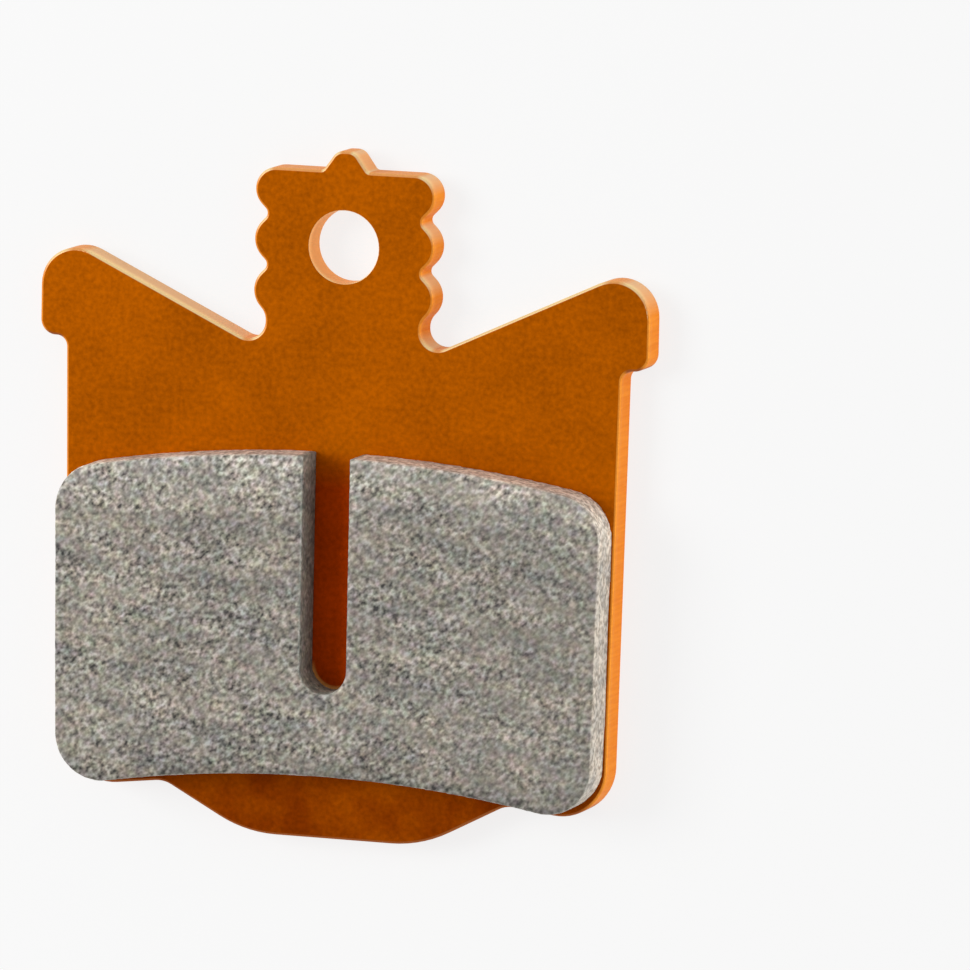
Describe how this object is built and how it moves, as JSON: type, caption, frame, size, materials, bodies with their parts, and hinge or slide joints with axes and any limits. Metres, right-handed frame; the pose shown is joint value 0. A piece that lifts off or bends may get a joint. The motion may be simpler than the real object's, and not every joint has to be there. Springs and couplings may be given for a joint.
{
  "type": "bicycle disc brake pad",
  "caption": "Flat stamped backing plate with ears, a scalloped hanging tab and a pin hole, carrying a bonded sintered friction block with a slot, for a bicycle disc brake caliper.",
  "frame": {"origin": "axis of the retaining pin hole, at the plate's flat back face", "axes": "+Z from the back face through the friction face, +Y away from the rotor's axle towards the hanging tab, +X across the pad; the pad lies on its back"},
  "size_m": [0.0368, 0.0396, 0.0042],
  "materials": {
    "lacquered_steel": "satin",
    "sintered_metal": "matte"
  },
  "bodies": {
    "root": {"backing_plate": "lacquered_steel", "friction_block": "sintered_metal"}
  },
  "joints": []
}
